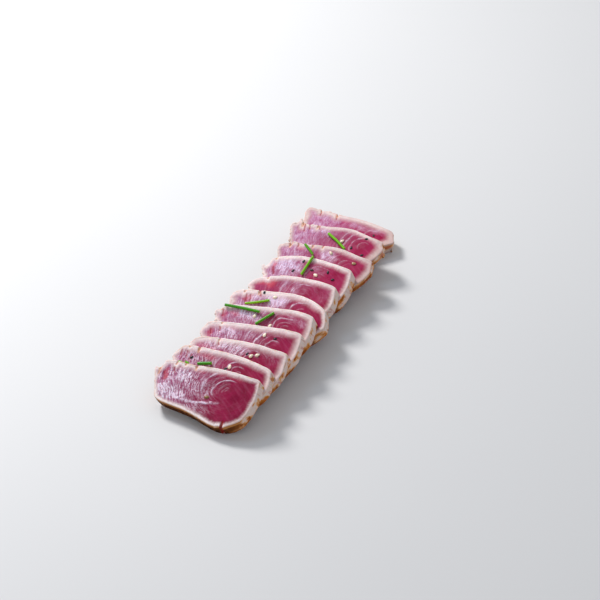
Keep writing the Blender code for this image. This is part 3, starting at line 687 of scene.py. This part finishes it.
for number, (on, start, end, bow, radius, tint) in enumerate(CHIVES, 1):
    start, end = Vector(start), Vector(end)
    length = (end - start).length
    bpy.ops.object.select_all(action="DESELECT")
    bpy.ops.mesh.primitive_cylinder_add(vertices=SIDES, radius=radius, depth=length, end_fill_type="NOTHING",
                                        rotation=(0, math.pi / 2, 0))
    stem = bpy.context.object
    mesh = stem.data
    bpy.ops.object.transform_apply(location=False, rotation=True, scale=False)
    bpy.ops.object.mode_set(mode="EDIT")
    bpy.ops.mesh.select_all(action="DESELECT")
    bpy.ops.object.mode_set(mode="OBJECT")
    for edge in mesh.edges:
        ends = [mesh.vertices[index].co for index in edge.vertices]
        edge.select = abs(ends[0].x - ends[1].x) > 0.5 * length
    bpy.ops.object.mode_set(mode="EDIT")
    bpy.ops.mesh.select_mode(type="EDGE")
    bpy.ops.mesh.subdivide(number_cuts=max(4, round(length / SEGMENT)))
    bpy.ops.object.mode_set(mode="OBJECT")
    apply_modifier(stem, "SOLIDIFY", thickness=WALL, offset=-1.0)
    apply_modifier(stem, "BEVEL", width=ROUNDED, segments=2, angle_limit=math.radians(50))

    # the bow, the shallow furrows, and the pale cut through the wall
    places = places_of(mesh)
    share = np.clip(places[:, 0] / length + 0.5, 0, 1)
    turn = np.arctan2(places[:, 2], places[:, 1])
    span = np.hypot(places[:, 1], places[:, 2])
    cut = smooth_step(0.985, 1.0, 2 * np.abs(share - 0.5)) * (span < radius - 0.03) + (span < radius - 0.1)
    furrows = 1 + 0.02 * np.cos(7 * turn + 1.3 * number) + 0.03 * ripple(length * share, 0 * share, 5, number)
    places[:, 1] *= furrows * 1.04
    places[:, 2] *= furrows * 0.97
    places[:, 1] += bow * np.sin(np.pi * share)
    mesh.vertices.foreach_set("co", places.ravel())
    keep_marks(mesh, {
        "cut": np.clip(cut, 0, 1), "green": np.full(len(places), tint),
        "leaf_place": np.column_stack([turn, length * share, np.full(len(places), 7.0 * number)]),
    })
    middle = (start + end) / 2
    heading = math.atan2(end.y - start.y, end.x - start.x)
    mesh.transform(to_world[on] @ Matrix.Translation((middle.x, middle.y, THICK[on] + LIFT + radius))
                   @ Matrix.Rotation(heading, 4, "Z"))
    mesh.shade_smooth()
    mesh.materials.append(leaf)
    stem.name = f"chive_leaf_{number:02d}"
    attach(stem, "root")
    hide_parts(f"chive_{number:02d}")


# The sesame seeds: cream and black seeds dropped on the wet faces, each flat, broad at one end and pointed at
# the other. All of a kind are one mesh, of copies of one shaped ball.

# Each seed's slice, its place there in millimetres, its turn in degrees, and how toasted it is.
CREAM = [(1, 6.4, 17.0, 20, 1.0), (2, 5.1, 28.6, 100, 0.1), (3, 9.7, 29.6, 65, 0.25),
         (3, 13.6, 31.8, 40, 0.2), (4, 8.8, 32.5, 85, 0.1), (5, -7.3, 26.6, 95, 0.15),
         (5, 6.7, 23.6, 80, 0.2), (6, -6.2, 30.4, 30, 0.2), (8, 7.5, 24.9, 170, 0.1),
         (9, 2.9, 32.3, 150, 0.45), (9, 22.9, 30.5, 15, 0.9), (10, 5.8, 26.2, 60, 0.3)]
BLACK = [(2, -23.7, 25.2, 60, 0), (2, 3.0, 26.3, 35, 0), (3, 6.4, 30.2, 75, 0), (4, 17.2, 32.7, 20, 0),
         (6, -15.4, 31.2, 100, 0), (8, -9.7, 22.4, 65, 0), (8, -5.8, 31.8, 80, 0), (8, 3.2, 27.6, 10, 0.3),
         (8, 15.0, 30.1, 110, 0), (8, 21.0, 26.1, 30, 0), (10, 14.7, 23.6, 100, 0), (10, 25.0, 20.7, 40, 0),
         (10, 21.6, 34.4, 20, 0), (11, 21.5, 26.2, 120, 0)]
CREAM_SIZE, BLACK_SIZE = (3.4, 2.4, 1.3), (2.8, 1.7, 1.0)  # mm long, broad and thick
SUNK = 0.4  # mm of a seed that lies below the cut face


def scatter_seeds(name, seeds, size, finish):
    """One mesh of all the seeds of a kind."""
    long, broad, thick = size
    bpy.ops.object.select_all(action="DESELECT")
    bpy.ops.mesh.primitive_uv_sphere_add(segments=20, ring_count=12, radius=0.5, rotation=(0, math.pi / 2, 0))
    grain = bpy.context.object
    bpy.ops.object.transform_apply(location=False, rotation=True, scale=False)
    for point in grain.data.vertices:
        x, y, z = point.co
        taper = 1 - 0.45 * (x + 0.5) ** 2
        edge = 1 + 0.10 * (1 - abs(z) / 0.5) ** 3
        point.co = (x * long, y * broad * taper * edge, z * thick * taper)
    copies = []
    for on, u, v, turn, toast in seeds:
        copy = grain.copy()
        copy.data = grain.data.copy()
        bpy.context.collection.objects.link(copy)
        copy.data.transform(to_world[on] @ Matrix.Translation((u, v, THICK[on] + thick / 2 - SUNK))
                            @ Matrix.Rotation(math.radians(turn), 4, "Z"))
        keep_marks(copy.data, {"toast": np.full(len(copy.data.vertices), float(toast))})
        copies.append(copy)
    bpy.data.objects.remove(grain)
    for copy in copies:
        copy.select_set(True)
    bpy.context.view_layer.objects.active = copies[0]
    bpy.ops.object.join()
    joined = bpy.context.object
    joined.name = name
    joined.data.shade_smooth()
    joined.data.materials.append(finish)
    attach(joined, "root")


cream_finish, shader, paint = new_finish("cream_sesame")
grainy = paint.on_object().noise(0.0006, 2)
husk = grainy.blend((0.93, 0.78, 0.58), (0.99, 0.91, 0.76))
set_shader(shader, {
    "Base Color": paint.mark("toast").blend(husk, (0.24, 0.13, 0.03)), "Roughness": 0.35 + 0.2 * grainy,
    "Coat Weight": 0.3, "Coat Roughness": 0.25, "Subsurface Weight": 0.1, "Subsurface Scale": 0.001,
})
scatter_seeds("sesame_cream", CREAM, CREAM_SIZE, cream_finish)

black_finish, shader, paint = new_finish("black_sesame")
grainy = paint.on_object().noise(0.0005, 2)
husk = grainy.blend((0.005, 0.005, 0.007), (0.015, 0.015, 0.02))
set_shader(shader, {
    "Base Color": paint.mark("toast").blend(husk, (0.09, 0.06, 0.03)), "Roughness": 0.4 + 0.2 * grainy,
    "Coat Weight": 0.1, "Coat Roughness": 0.25, "Specular IOR Level": 0.3,
})
scatter_seeds("sesame_black", BLACK, BLACK_SIZE, black_finish)
